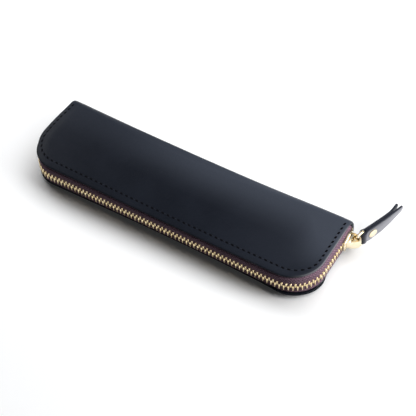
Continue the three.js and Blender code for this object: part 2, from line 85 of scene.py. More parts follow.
# %% [markdown]
# A few helpers stand for what the hand does in Blender: leave edit mode and let go of everything,
# start from a box, pick vertices, edges or faces by where they are, and apply a modifier once it is set
# up. The last ones join pieces, give them a finish and work out where a copy goes.

# %% Helpers
def let_go():
    if bpy.context.mode != "OBJECT":
        bpy.ops.object.mode_set(mode="OBJECT")
    bpy.ops.object.select_all(action="DESELECT")


def take(piece, mode="OBJECT"):
    let_go()
    piece.select_set(True)
    bpy.context.view_layer.objects.active = piece
    bpy.ops.object.mode_set(mode=mode)


def pick(kind, test):
    """Selects, in edit mode, each vertex, edge or face that passes the test."""
    mesh = bpy.context.edit_object.data
    bpy.ops.mesh.select_mode(type=kind)
    bpy.ops.mesh.select_all(action="DESELECT")
    shape = bmesh.from_edit_mesh(mesh)
    for item in {"VERT": shape.verts, "EDGE": shape.edges, "FACE": shape.faces}[kind]:
        item.select_set(bool(test(item)))
    shape.select_flush_mode()
    bmesh.update_edit_mesh(mesh)


def pick_all():
    bpy.ops.mesh.select_all(action="SELECT")


def named(name):
    """The piece that was just added, under its name."""
    piece = bpy.context.object
    piece.name = piece.data.name = name
    return piece


def start_box(size, middle):
    """Adds a cube of this size at this middle, and stays in edit mode with all of it selected."""
    let_go()
    bpy.ops.mesh.primitive_cube_add(size=1, enter_editmode=True)
    bpy.ops.transform.resize(value=size)
    bpy.ops.transform.translate(value=middle)
    return bpy.context.object


def cut(axis, places, test=lambda face: True):
    """Cuts the faces that pass the test, in edit mode, by planes across an axis."""
    normal = [0, 0, 0]
    normal["XYZ".index(axis)] = 1
    for place in places:
        pick("FACE", test)
        bpy.ops.mesh.bisect(plane_co=[n * place for n in normal], plane_no=normal)


def put_on(piece, kind, **values):
    """Adds a modifier with these values and applies it."""
    take(piece)
    modifier = piece.modifiers.new(kind.title(), kind)
    for key, value in values.items():
        setattr(modifier, key, value)
    bpy.ops.object.modifier_apply(modifier=modifier.name)


def smooth(piece, degrees):
    take(piece)
    bpy.ops.object.shade_smooth_by_angle(angle=math.radians(degrees))
    let_go()


def ramp(value, low, high):
    """Goes smoothly from 0 at low to 1 at high."""
    share = min(1.0, max(0.0, (value - low) / (high - low)))
    return share * share * (3 - 2 * share)


def paint(piece, name, value_at):
    """Stores a number at each vertex, which a material can read by its name."""
    layer = piece.data.attributes.new(name, "FLOAT", "POINT")
    layer.data.foreach_set("value", [value_at(v.co) for v in piece.data.vertices])


def join(pieces, name):
    let_go()
    for piece in pieces:
        piece.select_set(True)
    bpy.context.view_layer.objects.active = pieces[0]
    bpy.ops.object.join()
    whole = named(name)
    let_go()
    return whole


def dress(piece, finish):
    piece.data.materials.clear()
    piece.data.materials.append(finish)


def placing(middle, axes):
    """The matrix that takes a mesh from the origin to a middle, turned to three axes."""
    return Matrix.Translation(middle) @ Matrix(axes).transposed().to_4x4()


def copy_at(pattern, middle, axes):
    """A copy of a pattern with its own mesh, put in its place."""
    copy = bpy.data.objects.new(pattern.name, pattern.data.copy())
    bpy.context.scene.collection.objects.link(copy)
    copy.data.transform(placing(middle, axes))
    return copy


HAIR = 0.01 * MM
let_go()
print("helpers ready, points count as level within", HAIR / MM, "mm")

# %% [markdown]
# The camera comes first, so that every piece can be judged from the photo's own angle. Its place and
# focal length come from a fit to the case's outline: it stands high over the near right side, a little
# turned about its own axis. The fit gives the focal length in pixels of a photo 416 pixels wide.

# %% Camera
AZIMUTH, ELEVATION, ROLL = (math.radians(a) for a in (34.97, 51.54, -4.08))
DISTANCE, TARGET = 738.2 * MM, Vector((12.69 * MM, 5.06 * MM, 0))
FOCAL, PHOTO, SENSOR = 1242.2, 416, 36
back = Vector((math.sin(AZIMUTH) * math.cos(ELEVATION), -math.cos(AZIMUTH) * math.cos(ELEVATION),
               math.sin(ELEVATION)))
level = Vector((math.cos(AZIMUTH), math.sin(AZIMUTH), 0))
upright = back.cross(level)
right = math.cos(ROLL) * level + math.sin(ROLL) * upright
up = math.cos(ROLL) * upright - math.sin(ROLL) * level
camera = bpy.data.objects.new("camera", bpy.data.cameras.new("camera"))
bpy.context.scene.collection.objects.link(camera)
camera.matrix_world = Matrix((right, up, back)).transposed().to_4x4()
camera.location = TARGET + back * DISTANCE
camera.data.sensor_width, camera.data.lens = SENSOR, SENSOR * FOCAL / PHOTO
bpy.context.scene.camera = camera
print("lens", round(camera.data.lens, 1), "mm")

# %% [markdown]
# Leather isn't one flat black. Its dye lies in soft clouds, it has fine pores, and where it is handled
# it has small scuffs. The grain is a node group, because the hide and the pull tab share it. It puts
# out a height for the bump and two masks that change over the surface.

# %% Leather grain
def group_of(name, inputs, outputs):
    group = bpy.data.node_groups.new(name, "ShaderNodeTree")
    for label, default in inputs:
        socket = group.interface.new_socket(label, in_out="INPUT", socket_type="NodeSocketFloat")
        socket.default_value = default
    for label in outputs:
        group.interface.new_socket(label, in_out="OUTPUT", socket_type="NodeSocketFloat")
    return group, group.nodes.new("NodeGroupInput"), group.nodes.new("NodeGroupOutput")


def add_node(tree, kind, links=(), **values):
    """A node with its values set, by attribute or input name, and its inputs linked."""
    node = tree.nodes.new("ShaderNode" + kind)
    for key, value in values.items():
        if hasattr(node, key):
            setattr(node, key, value)
        else:
            node.inputs[key.replace("_", " ")].default_value = value
    for key, source in dict(links).items():
        tree.links.new(source, node.inputs[key])
    return node


def blend_of(tree, factor, low, high):
    """Mixes two numbers by a mask."""
    node = add_node(tree, "MapRange", {"Value": factor}, To_Min=low, To_Max=high)
    return node.outputs[0]


grain, grain_in, grain_out = group_of(
    "leather grain", [("Pore Scale", 1500.0), ("Cloud Scale", 22.0)], ["Height", "Cloud", "Scuff"])
place = add_node(grain, "TexCoord").outputs["Object"]
pores = add_node(grain, "TexVoronoi", {"Vector": place, "Scale": grain_in.outputs[0]}, feature="F1")
fine = add_node(grain, "TexNoise", {"Vector": place}, Scale=3200.0, Detail=3.0)
crease = add_node(grain, "TexNoise", {"Vector": place}, Scale=260.0, Detail=5.0, Roughness=0.65)
cloud = add_node(grain, "TexNoise", {"Vector": place, "Scale": grain_in.outputs[1]}, Detail=4.0,
                 Roughness=0.55, Distortion=0.6)
scuff = add_node(grain, "TexNoise", {"Vector": place}, Scale=420.0, Detail=8.0, Roughness=0.8)
high = add_node(grain, "Math", {0: pores.outputs["Distance"], 1: fine.outputs[0]}, operation="ADD")
height = add_node(grain, "Math", {0: high.outputs[0], 1: crease.outputs[0]}, operation="ADD")
cloud_mask = add_node(grain, "MapRange", {"Value": cloud.outputs[0]}, From_Min=0.35, From_Max=0.68)
scuff_mask = add_node(grain, "MapRange", {"Value": scuff.outputs[0]}, From_Min=0.6, From_Max=0.78)
for socket, source in zip(grain_out.inputs, (height, cloud_mask, scuff_mask)):
    grain.links.new(source.outputs[0], socket)
print("leather grain:", len(grain.nodes), "nodes")

# %% [markdown]
# The leather finish mixes two navy blacks by the clouds and adds faint pale scuffs. Each leather piece
# gets a painted sheen from its own vertices, paler where light would shine on it, and the hide also a
# painted highlight along the rim of its right end. Waxed leather is half matt, so the shine varies with
# the clouds too.

# %% Leather finish
def finish_of(name):
    material = bpy.data.materials.new(name)
    material.use_nodes = True
    return material, material.node_tree, material.node_tree.nodes["Principled BSDF"]


def colour_mix(tree, factor, low, high):
    node = add_node(tree, "Mix", data_type="RGBA")
    tree.links.new(factor, node.inputs["Factor"])
    for socket, value in ((node.inputs[6], low), (node.inputs[7], high)):
        if isinstance(value, tuple):
            socket.default_value = (*value, 1)
        else:
            tree.links.new(value, socket)
    return node.outputs[2]


def painted(tree, name):
    """The number that a piece has stored on its vertices under this name."""
    return add_node(tree, "Attribute", attribute_name=name).outputs["Fac"]


SCUFF_SHARE = 0.15


def raise_grain(tree, shader, height, strength, distance):
    """Lets a height tilt the surface, by a bump."""
    relief = add_node(tree, "Bump", {"Height": height}, Strength=strength, Distance=distance)
    tree.links.new(relief.outputs[0], shader.inputs["Normal"])


def leather_finish(name, dark, light, sheen_and_scuff_colour, shine, rim_highlight_colour=None):
    material, tree, shader = finish_of(name)
    surface = tree.nodes.new("ShaderNodeGroup")
    surface.node_tree = grain
    colour = colour_mix(tree, surface.outputs["Cloud"], dark, light)
    # A painted sheen makes the leather paler where light would shine on it; the scuffs share its pale colour.
    colour = colour_mix(tree, painted(tree, "painted_sheen"), colour, sheen_and_scuff_colour)
    faint = blend_of(tree, surface.outputs["Scuff"], 0, SCUFF_SHARE)
    colour = colour_mix(tree, faint, colour, sheen_and_scuff_colour)
    if rim_highlight_colour:
        # A painted highlight along the rim.
        colour = colour_mix(tree, painted(tree, "rim"), colour, rim_highlight_colour)
    tree.links.new(colour, shader.inputs["Base Color"])
    tree.links.new(blend_of(tree, surface.outputs["Cloud"], 0.5, 0.42), shader.inputs["Roughness"])
    raise_grain(tree, shader, surface.outputs["Height"], 0.35, 0.12 * MM)
    shader.inputs["Specular IOR Level"].default_value = shine
    return material


# The third colour is the pale one of the painted sheen and the scuffs, the last the hide's painted highlight.
hide_finish = leather_finish("waxed navy leather", (0.0038, 0.0054, 0.0096), (0.0068, 0.009, 0.015),
                             (0.0395, 0.0465, 0.063), 0.085, rim_highlight_colour=(0.15, 0.155, 0.17))
tab_finish = leather_finish("pull tab leather", (0.012, 0.015, 0.024), (0.02, 0.022, 0.033),
                            (0.36, 0.36, 0.4), 0.2)
print("finishes:", hide_finish.name, tab_finish.name)

# %% [markdown]
# The zip's tape is a dense twill in a purple brown. The weave follows the tape round the corners, so it
# reads the tape's own UV map, where U is the length and V the way round the section, both in
# millimetres. Two crossed waves, one for the warp and one for the diagonal, make the pattern.

# %% Tape finish
def make_matt(shader, roughness, shine):
    shader.inputs["Roughness"].default_value = roughness
    shader.inputs["Specular IOR Level"].default_value = shine


tape_finish, tree, shader = finish_of("woven tape")
flat = add_node(tree, "UVMap", uv_map="weave").outputs[0]
twill = add_node(tree, "TexWave", {"Vector": flat}, wave_type="BANDS", bands_direction="DIAGONAL",
                 Scale=0.36, Distortion=0.6, Detail=1.0)
warp = add_node(tree, "TexWave", {"Vector": flat}, wave_type="BANDS", bands_direction="Y", Scale=0.32)
fuzz = add_node(tree, "TexNoise", {"Vector": flat}, Scale=1.4, Detail=4.0)
threads = add_node(tree, "Math", {0: twill.outputs["Fac"], 1: warp.outputs["Fac"]}, operation="MULTIPLY")
woven = add_node(tree, "Math", {0: threads.outputs[0], 1: fuzz.outputs[0]}, operation="MULTIPLY_ADD")
tree.links.new(fuzz.outputs[0], woven.inputs[2])
strand = add_node(tree, "MapRange", {"Value": woven.outputs[0]}, From_Min=0.3, From_Max=1.0)
tree.links.new(colour_mix(tree, strand.outputs[0], (0.075, 0.042, 0.063), (0.36, 0.228, 0.294)),
               shader.inputs["Base Color"])
raise_grain(tree, shader, woven.outputs[0], 0.7, 0.2 * MM)
make_matt(shader, 0.85, 0.2)
print("finish:", tape_finish.name)

# %% [markdown]
# The metals share one worn surface: a slow cloud of tarnish and fine scratches. The stamped teeth are a
# satin brass with more tarnish, the cast slider and the rivet a polished gold plate.

# %% Metal finishes
wear, wear_in, wear_out = group_of("metal wear", [("Cloud Scale", 300.0)], ["Tarnish", "Scratch"])
place = add_node(wear, "TexCoord").outputs["Object"]
cloud = add_node(wear, "TexNoise", {"Vector": place, "Scale": wear_in.outputs[0]}, Detail=4.0)
scratch = add_node(wear, "TexNoise", {"Vector": place}, Scale=2600.0, Detail=2.0, Roughness=0.7)
for socket, source in zip(wear_out.inputs, (cloud, scratch)):
    wear.links.new(source.outputs[0], socket)


def metal_finish(name, dull, bright, rough, rougher, bump):
    material, tree, shader = finish_of(name)
    surface = tree.nodes.new("ShaderNodeGroup")
    surface.node_tree = wear
    tree.links.new(colour_mix(tree, surface.outputs["Tarnish"], dull, bright), shader.inputs["Base Color"])
    tree.links.new(blend_of(tree, surface.outputs["Tarnish"], rougher, rough), shader.inputs["Roughness"])
    raise_grain(tree, shader, surface.outputs["Scratch"], bump, 0.02 * MM)
    shader.inputs["Metallic"].default_value = 1
    return material


brass_finish = metal_finish("satin brass", (0.56, 0.4, 0.18), (1.0, 0.87, 0.58), 0.14, 0.28, 0.25)
gold_finish = metal_finish("polished gold plate", (0.92, 0.72, 0.39), (1.0, 0.96, 0.83), 0.1, 0.2, 0.15)
print("finishes:", brass_finish.name, gold_finish.name)

# %% [markdown]
# The thread is waxed and dark. Its twist is a fine diagonal wave, and it gets the same painted sheen as
# the leather. The hole that each stitch dives into is painted shade: a near black that takes little light.

# %% Thread finish
thread_finish, tree, shader = finish_of("waxed thread")
place = add_node(tree, "TexCoord").outputs["Object"]
twist = add_node(tree, "TexWave", {"Vector": place}, wave_type="BANDS", bands_direction="DIAGONAL",
                 Scale=900.0)
strand = colour_mix(tree, twist.outputs["Fac"], (0.005, 0.006, 0.011), (0.012, 0.014, 0.022))
# The thread gets the leather's painted sheen.
tree.links.new(colour_mix(tree, painted(tree, "painted_sheen"), strand, (0.045, 0.05, 0.07)),
               shader.inputs["Base Color"])
raise_grain(tree, shader, twist.outputs["Fac"], 0.5, 0.1 * MM)
make_matt(shader, 0.6, 0.15)
# The slits get painted shade: a near black finish for the shade in the holes.
hole_shade_finish, tree, shader = finish_of("painted hole shade")
place = add_node(tree, "TexCoord").outputs["Object"]
depth = add_node(tree, "TexNoise", {"Vector": place}, Scale=1800.0)
tree.links.new(colour_mix(tree, depth.outputs[0], (0.001, 0.001, 0.002), (0.004, 0.004, 0.005)),
               shader.inputs["Base Color"])
make_matt(shader, 0.9, 0.05)
print("finishes:", thread_finish.name, hole_shade_finish.name)

# %% [markdown]
# The hide is cut flat, as on the bench. A plane gets its two near corners rounded by a vertex bevel,
# insets draw the rolled rim and the sewing groove inside its outline, and cuts across it give the
# leather enough points to bend. The extra cuts keep off the rim, where they would leave slivers.
# Here it is only one half of the hide, from the zip to mid-spine, where the spare is cut off.

# %% The flat hide
def inset_of(point):
    """How far inside the cut outline a point of the flat hide is."""
    over_x = abs(point.x) - (LENGTH / 2 - CORNER_R)
    over_y = CORNER_Y - point.y
    if over_x > 0 and over_y > 0:
        return CORNER_R - math.hypot(over_x, over_y)
    return CORNER_R - max(over_x, over_y)


def is_field(face):
    return all(inset_of(v.co) > RIM_RINGS[-1] - HAIR for v in face.verts)


SEAM_IN, GROOVE = 5.0 * MM, 0.6 * MM
RIM_RINGS = [0.7 * MM, 2.0 * MM, SEAM_IN - GROOVE, SEAM_IN, SEAM_IN + GROOVE, 7.0 * MM, 9.0 * MM]
CUT_STEP = 6.2 * MM
far_edge, spare = FOLD_Y + FOLD_ARC + SPINE_HALF, 12 * MM
let_go()
bpy.ops.mesh.primitive_plane_add(size=1, enter_editmode=True)
hide_upper = named("hide_upper")
bpy.ops.transform.resize(value=(LENGTH, far_edge + spare + WIDTH / 2, 1))
bpy.ops.transform.translate(value=(0, (far_edge + spare - WIDTH / 2) / 2, THICK))
pick("VERT", lambda v: v.co.y < 0)
bpy.ops.mesh.bevel(affect="VERTICES", offset=CORNER_R, segments=18, profile=0.5)
pick_all()
for low, high in zip([0] + RIM_RINGS, RIM_RINGS):
    bpy.ops.mesh.inset(thickness=high - low)
pick_all()
bpy.ops.mesh.bisect(plane_co=(0, far_edge, 0), plane_no=(0, 1, 0), clear_outer=True)
cut("X", [x * CUT_STEP for x in range(-12, 13)])
cut("Y", [y * MM for y in (-4, 2, 8, 14, 18.5, 22.5)])
cut("Y", [FOLD_Y + FOLD_ARC * step / 9 for step in range(1, 10)])
cut("X", [x * MM for x in (-84, -79, 79, 84)], is_field)
cut("Y", [y * MM for y in (-14, -9)], is_field)
print("flat hide:", len(bmesh.from_edit_mesh(hide_upper.data).verts), "points")

# %% [markdown]
# A creaser and a groover run round the edge before sewing: the rim rolls down a little, and the seam
# sits in a shallow groove. Both are picked by how far inside the outline they are. In use the zip has
# drawn the soft rims too: the upper half's left end out and down, the lower half's ends in and its near
# side out. That is a smooth shift of each point, which fades out towards the middle and the spine.

# %% Creased, grooved and drawn
RIM_DROPS = (0.5, 0.22, 0.1, 0.05, 0.1, 0.03)
for inside, drop in zip([0] + RIM_RINGS, RIM_DROPS):
    pick("VERT", lambda v: abs(inset_of(v.co) - inside) < 0.12 * MM and v.co.y < FOLD_Y + FOLD_ARC)
    bpy.ops.transform.translate(value=(0, 0, -drop * MM))
RIM_WIDE = 8 * MM
LEFT_DROP, LEFT_OUT, LEFT_IN = 2.0 * MM, 2.2 * MM, 2.4 * MM
LOWER_OUT, CORNER_OUT, RIGHT_IN = 1.1 * MM, 1.2 * MM, 1.5 * MM


def outward(point):
    over = Vector((abs(point.x) - LENGTH / 2 + CORNER_R, CORNER_Y - point.y, 0))
    over = Vector((max(0, over.x), max(0, over.y), 0)).normalized()
    return Vector((math.copysign(over.x, point.x), -over.y, 0))


def drawn(point, side):
    """How far the zip has drawn a point of the upper half, side 1, or of the lower one, side -1."""
    way, rim = outward(point), 1 - min(1, inset_of(point) / RIM_WIDE)
    left, right = max(0, -way.x) ** 2, max(0, way.x) ** 2
    if side > 0:
        shift = way * LEFT_OUT * left * ramp(point.y, -16 * MM, -3 * MM)
        shift.z -= LEFT_DROP * left * rim
    else:
        near = (0.7 + 0.3 * ramp(point.x, 40 * MM, 78 * MM)) * (1 - ramp(point.y, -16 * MM, 4 * MM))
        in_right = RIGHT_IN * right * ramp(point.y, -10 * MM, 4 * MM)
        shift = way * (LOWER_OUT * near - LEFT_IN * left - in_right)
        shift.y -= CORNER_OUT * ramp(point.x, 68 * MM, 90 * MM) * max(0, -way.y)
    return shift * rim * (1 - ramp(point.y, 4 * MM, 24 * MM))


print("rim rolled down by", RIM_DROPS[0], "mm, left end drawn out by", LEFT_OUT / MM, "mm")

# %% [markdown]
# The hide is folded by moving each point round the fold's radius, as over a folding block. The spine
# bellies out at mid-height, as stiff leather does. The lower half is the same fold, turned over.

# %% Folded
SPINE_BELLY = 0.9 * MM


def folded(point):
    over = point.y - FOLD_Y
    if over <= 0:
        return point
    radius = FOLD_R + point.z - THICK
    turn = min(over, FOLD_ARC) / FOLD_R
    y = FOLD_Y + radius * math.sin(turn)
    z = THICK - FOLD_R + radius * math.cos(turn) - max(0, over - FOLD_ARC)
    belly = SPINE_BELLY * math.cos((z - MID_Z) / THICK * math.pi) ** 2 * math.sin(turn)
    return Vector((point.x, y + belly, z))


let_go()
hide_lower = hide_upper.copy()
hide_lower.data = hide_upper.data.copy()
hide_lower.name = hide_lower.data.name = "hide_lower"
bpy.context.scene.collection.objects.link(hide_lower)
for hide, side in ((hide_upper, 1), (hide_lower, -1)):
    for vertex in hide.data.vertices:
        vertex.co = folded(vertex.co + drawn(vertex.co, side))
take(hide_lower, "EDIT")
pick_all()
bpy.ops.transform.resize(value=(1, 1, -1), center_override=(0, 0, MID_Z))
bpy.ops.mesh.flip_normals()
let_go()
print("folded:", hide_upper.name, "and its mirror", hide_lower.name)

# %% [markdown]
# Solidify gives the hide its 2 mm towards the inside. The rim is then rounded by a bevel, as an edge
# slicker does it. The cut at mid-spine, where the two halves meet, is left sharp, because in the real
# hide there is no cut at all.

# %% Thickness and slicked edges
def at_spine_cut(edge):
    return all(abs(v.co.z - MID_Z) < HAIR for v in edge.verts)


def is_arris(edge):
    """A sharp edge between two faces."""
    return len(edge.link_faces) == 2 and edge.calc_face_angle() > 0.9


for hide in (hide_upper, hide_lower):
    put_on(hide, "SOLIDIFY", thickness=LEATHER, offset=-1, use_even_offset=True)
    take(hide, "EDIT")
    pick("EDGE", lambda e: is_arris(e) and not at_spine_cut(e))
    bpy.ops.mesh.bevel(offset=0.55 * MM, segments=3, affect="EDGES")
    smooth(hide, 40)
    dress(hide, hide_finish)
    print(hide.name, len(hide.data.polygons), "faces")

# %% [markdown]
# A used case isn't a straight box. Its upper half is pinched between the zip's corners and puffs up a
# little inside, its spine sags and leans in at the middle, and the zip pulls the lower half's near edge
# up. A lattice round the case bends leather, stitches and tape at once. Only its top and bottom layers
# move, by the millimetres listed for its seven columns, so the chain at mid-height stays put.

# %% The lattice
CAGE = (7, 5, 5)
CAGE_SIZE = Vector((LENGTH + 8 * MM, WIDTH + 8 * MM, THICK + 2 * MM))
let_go()
bpy.ops.object.add(type="LATTICE", location=(0, 0, MID_Z))
cage = bpy.context.object
cage.scale = CAGE_SIZE
cage.data.points_u, cage.data.points_v, cage.data.points_w = CAGE
NEAR_PINCH = (-1.2, 0.1, -1.0, -1.5, -1.2, 0.1, 1.3)
FAR_SAG = (0.6, -3.3, -6.3, -7.6, -5.3, 0.2, 2.2)
NEAR_CURL = (3.0, 6.0, 9.0, 10.4, 10.4, 8.2, 5.0)
CROWN = (0.0, 0.3, 0.5, 0.6, 0.6, 0.4, 0.1)
LEAN = 0.8
for index, point in enumerate(cage.data.points):
    column = index % CAGE[0]
    row = index // CAGE[0] % CAGE[1] / (CAGE[1] - 1)
    layer = index // (CAGE[0] * CAGE[1])
    if layer == 0 and row == 0:
        point.co_deform.z += NEAR_CURL[column] * MM / CAGE_SIZE.z
    elif layer == CAGE[2] - 1:
        lift = NEAR_PINCH[column] * (1 - row) + FAR_SAG[column] * row ** 3
        lift += CROWN[column] * 4 * row * (1 - row)
        lean = min(0, FAR_SAG[column]) * ramp(row, 0.5, 1) * LEAN
        point.co_deform.z += lift * MM / CAGE_SIZE.z
        point.co_deform.y += lean * MM / CAGE_SIZE.y


def settle(piece):
    put_on(piece, "LATTICE", object=cage)


for hide in (hide_upper, hide_lower):
    settle(hide)
print("lattice", CAGE, "bends the two halves")

# %% [markdown]
# Two masks are painted as numbers on the vertices. A painted highlight runs as a thin pale line along the
# arris of the right end. A painted sheen makes the top paler towards the spine and towards that end, on
# top only.
# Then the two halves are baked in place and take the place of the CAD panels.

# %% Painted sheen, painted highlight and the halves in place
def arris_highlight_at(point):
    """A painted highlight: a thin line just inside the outline, on the right end only."""
    inside = inset_of(point)
    line = ramp(inside, 0, 0.15 * MM) * (1 - ramp(inside, 0.35 * MM, 0.8 * MM))
    return line * ramp(point.x, 84 * MM, 96 * MM) * (1 - ramp(point.y, 16 * MM, 24 * MM))


def painted_sheen_at(point):
    """How much painted sheen a point gets, from 0 to 1."""
    to_spine = (0.28 + 0.56 * ramp(point.x, -75 * MM, 20 * MM)) * ramp(point.y, -6 * MM, 24 * MM)
    to_end = 0.16 * ramp(point.x, 10 * MM, 90 * MM)
    to_end += 0.62 * ramp(point.x, 70 * MM, 92 * MM) * ramp(point.y, -20 * MM, 0)
    return min(1, to_spine + to_end) * ramp(point.z, 3 * MM, 12 * MM)


# Each half gets a painted highlight on its rim and a painted sheen on top.
for hide in (hide_upper, hide_lower):
    paint(hide, "rim", arris_highlight_at)
    paint(hide, "painted_sheen", painted_sheen_at)
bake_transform(hide_lower)
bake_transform(hide_upper)
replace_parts(hide_lower, "bottom_panel", "spine_panel")
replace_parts(hide_upper, "top_panel")

# %% [markdown]
# The zip's path runs down the left end, round a corner, along the near side, round the second corner
# and up the right end. One function gives the point of the leather's edge and the outward direction at
# any length of a line that keeps a set distance from that edge.

# %% The zip's path
def path_length(out):
    return 2 * END_RUN + LONG_RUN + math.pi * (CORNER_R + out)


def path_at(run, out):
    """The leather's edge and the outward direction at a length of the line `out` outside the edge."""
    arc = (CORNER_R + out) * math.pi / 2
    corner_x = LENGTH / 2 - CORNER_R
    if run <= END_RUN:
        return Vector((-LENGTH / 2, END_Y - run, 0)), Vector((-1, 0, 0))
    run -= END_RUN
    if arc < run <= arc + LONG_RUN:
        return Vector((run - arc - corner_x, -WIDTH / 2, 0)), Vector((0, -1, 0))
    if run > 2 * arc + LONG_RUN:
        return Vector((LENGTH / 2, CORNER_Y + run - 2 * arc - LONG_RUN, 0)), Vector((1, 0, 0))
    if run > arc:
        run -= LONG_RUN
    else:
        corner_x = -corner_x
    angle = math.pi + run / (CORNER_R + out)
    facing = Vector((math.cos(angle), math.sin(angle), 0))
    return Vector((corner_x, CORNER_Y, 0)) + facing * CORNER_R, facing


CHAIN_RUN = path_length(CHAIN_OUT)
SPREAD, CHAIN_IN = 1.7 * MM, 2.2 * MM


def chain_at(run):
    """The line that the chain keeps to, which lies further in at the left corner."""
    edge, facing = path_at(run, CHAIN_OUT)
    pull = CHAIN_IN * max(0, -facing.x) ** 2 * (1 - ramp(edge.y, -4 * MM, 16 * MM))
    return edge - facing * pull, facing


def spread_at(run):
    """How far the slider has parted the rows at a length of the chain."""
    from_slider = run - (CHAIN_RUN - END_RUN) + CORNER_Y - SLIDER_Y
    return SPREAD * ramp(from_slider, -3.4 * MM, 3.8 * MM)


print("chain", round(CHAIN_RUN / MM), "mm")

# %% [markdown]
# A tape's corded edge sits in the chain, and the rest rises beside it and turns in under the leather.
# Its section is worked out first, as a closed line up its outside and down its inside. Near the spine
# the tape gets narrower, so that it stays inside the fold, and by the slider its cord is lifted.

# %% Section of a tape
TAPE_HALF, CORD_HALF, CORD_ROUND = 0.35 * MM, 0.55 * MM, 0.66 * MM
TAPE_EDGE, TAPE_BEND, TAPE_FLAT_Z, TAPE_UNDER = 2.35 * MM, 1.2 * MM, 16 * MM, 9 * MM
TAPE_STRAIGHT = TAPE_FLAT_Z - MID_Z - TAPE_BEND - TAPE_EDGE
TAPE_WIDTHS = [-1.7, -1.62, -1.4, -1.0, -0.6, -0.3, 0.1, 0.7, 1.3, 1.9, 2.5, 3.1, 3.5, 3.9, 4.3, 4.7, 5.1]
TRIM = 3.1 * MM
FOLD_ROOM = 2.55 * MM


def tape_line(width):
    """Out and up from the chain's middle at a width of the tape, and how far it has turned in."""
    turn = min(math.pi / 2, max(0, (width - TAPE_STRAIGHT) / TAPE_BEND))
    rise = TAPE_EDGE + min(width, TAPE_STRAIGHT) + TAPE_BEND * math.sin(turn)
    inwards = TAPE_BEND * (1 - math.cos(turn)) + max(0, width - TAPE_STRAIGHT - TAPE_BEND * math.pi / 2)
    return CHAIN_OUT - inwards, rise, turn


def end_width(y):
    """How wide the tape may be near the spine, where its top has to stay inside the fold."""
    over = min(FOLD_ROOM, max(0, y - FOLD_Y))
    over_bend = SPINE_HALF + math.sqrt(FOLD_ROOM ** 2 - over ** 2) - TAPE_EDGE - TAPE_STRAIGHT
    if over_bend <= 0:
        return TAPE_STRAIGHT + over_bend
    return TAPE_STRAIGHT + TAPE_BEND * math.asin(min(1, over_bend / TAPE_BEND))


def tape_section(run):
    """The closed section of the tape at a length, as out and height, up the outside and down the inside."""
    full = TAPE_STRAIGHT + (math.pi / 2 - 1) * TAPE_BEND + CHAIN_OUT + TAPE_UNDER
    from_end = min(run, CHAIN_RUN - run)
    short = end_width(END_Y - from_end)
    whole = short + (full - short) * ramp(from_end, TRIM, 2 * TRIM)
    lift = spread_at(run)
    outside, inside = [], []
    for width in [w * MM for w in TAPE_WIDTHS] + [full]:
        half = TAPE_HALF + (CORD_HALF - TAPE_HALF) * (1 - ramp(width, -0.7 * MM, -0.2 * MM))
        half *= math.sqrt(1 - max(0, (-1.05 * MM - width) / CORD_ROUND) ** 2)
        out, rise, turn = tape_line(min(width, whole))
        lifted = lift * (1 - ramp(width, 0, TAPE_STRAIGHT))
        outside.append((out + half * math.cos(turn), rise + lifted + half * math.sin(turn)))
        inside.append((out - half * math.cos(turn), rise + lifted - half * math.sin(turn)))
    return outside + inside[::-1] + outside[:1]


print("tape rises straight for", round(TAPE_STRAIGHT / MM, 1), "mm before it turns in")

# %% [markdown]
# A tape is woven flat, so each one starts as a flat grid whose UV map is set in millimetres while it is
# still flat. Then its points are moved to the sections along the chain. The grid's width goes all the
# way round a section, so its long sides meet and are merged, and its two open ends are filled.

# %% The tapes
TAPE_STEPS = 200
ROUND = 2 * len(TAPE_WIDTHS) + 2
UV_STEP = 0.5


def lay_tape(name, side):
    let_go()
    bpy.ops.mesh.primitive_grid_add(x_subdivisions=TAPE_STEPS, y_subdivisions=ROUND, size=1)
    tape = named(name)
    uv = tape.data.uv_layers[0]
    uv.name = "weave"
    for loop in uv.data:
        loop.uv = (loop.uv[0] * CHAIN_RUN / MM, loop.uv[1] * ROUND * UV_STEP)
    sections = [tape_section(CHAIN_RUN * step / TAPE_STEPS) for step in range(TAPE_STEPS + 1)]
    for vertex in tape.data.vertices:
        step, ring = round((vertex.co.x + 0.5) * TAPE_STEPS), round((vertex.co.y + 0.5) * ROUND)
        out, rise = sections[step][ring]
        edge, facing = chain_at(CHAIN_RUN * step / TAPE_STEPS)
        vertex.co = edge + facing * out + Vector((0, 0, MID_Z + side * rise))
    take(tape, "EDIT")
    pick_all()
    bpy.ops.mesh.remove_doubles(threshold=0.002 * MM)
    bpy.ops.mesh.select_all(action="DESELECT")
    bpy.ops.mesh.select_mode(type="EDGE")
    bpy.ops.mesh.select_non_manifold()
    bpy.ops.mesh.edge_face_add()
    pick_all()
    bpy.ops.mesh.normals_make_consistent(inside=False)
    smooth(tape, 50)
    dress(tape, tape_finish)
    print(name, len(tape.data.polygons), "faces")
    return tape


tape_upper, tape_lower = lay_tape("tape_upper", 1), lay_tape("tape_lower", -1)
for tape in (tape_upper, tape_lower):
    settle(tape)
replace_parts(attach(tape_upper, "lid"), "upper_tape")
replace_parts(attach(tape_lower, "base"), "lower_tape")

# %% [markdown]
# A brass tooth is stamped and clamped over the tape's cord. It is made once from a cube: a cut at the
# neck, a head drawn wide and thin, so that the heads of both rows fill each other's gaps, and bevelled
# edges. There are over two hundred, so it keeps to a few dozen faces.

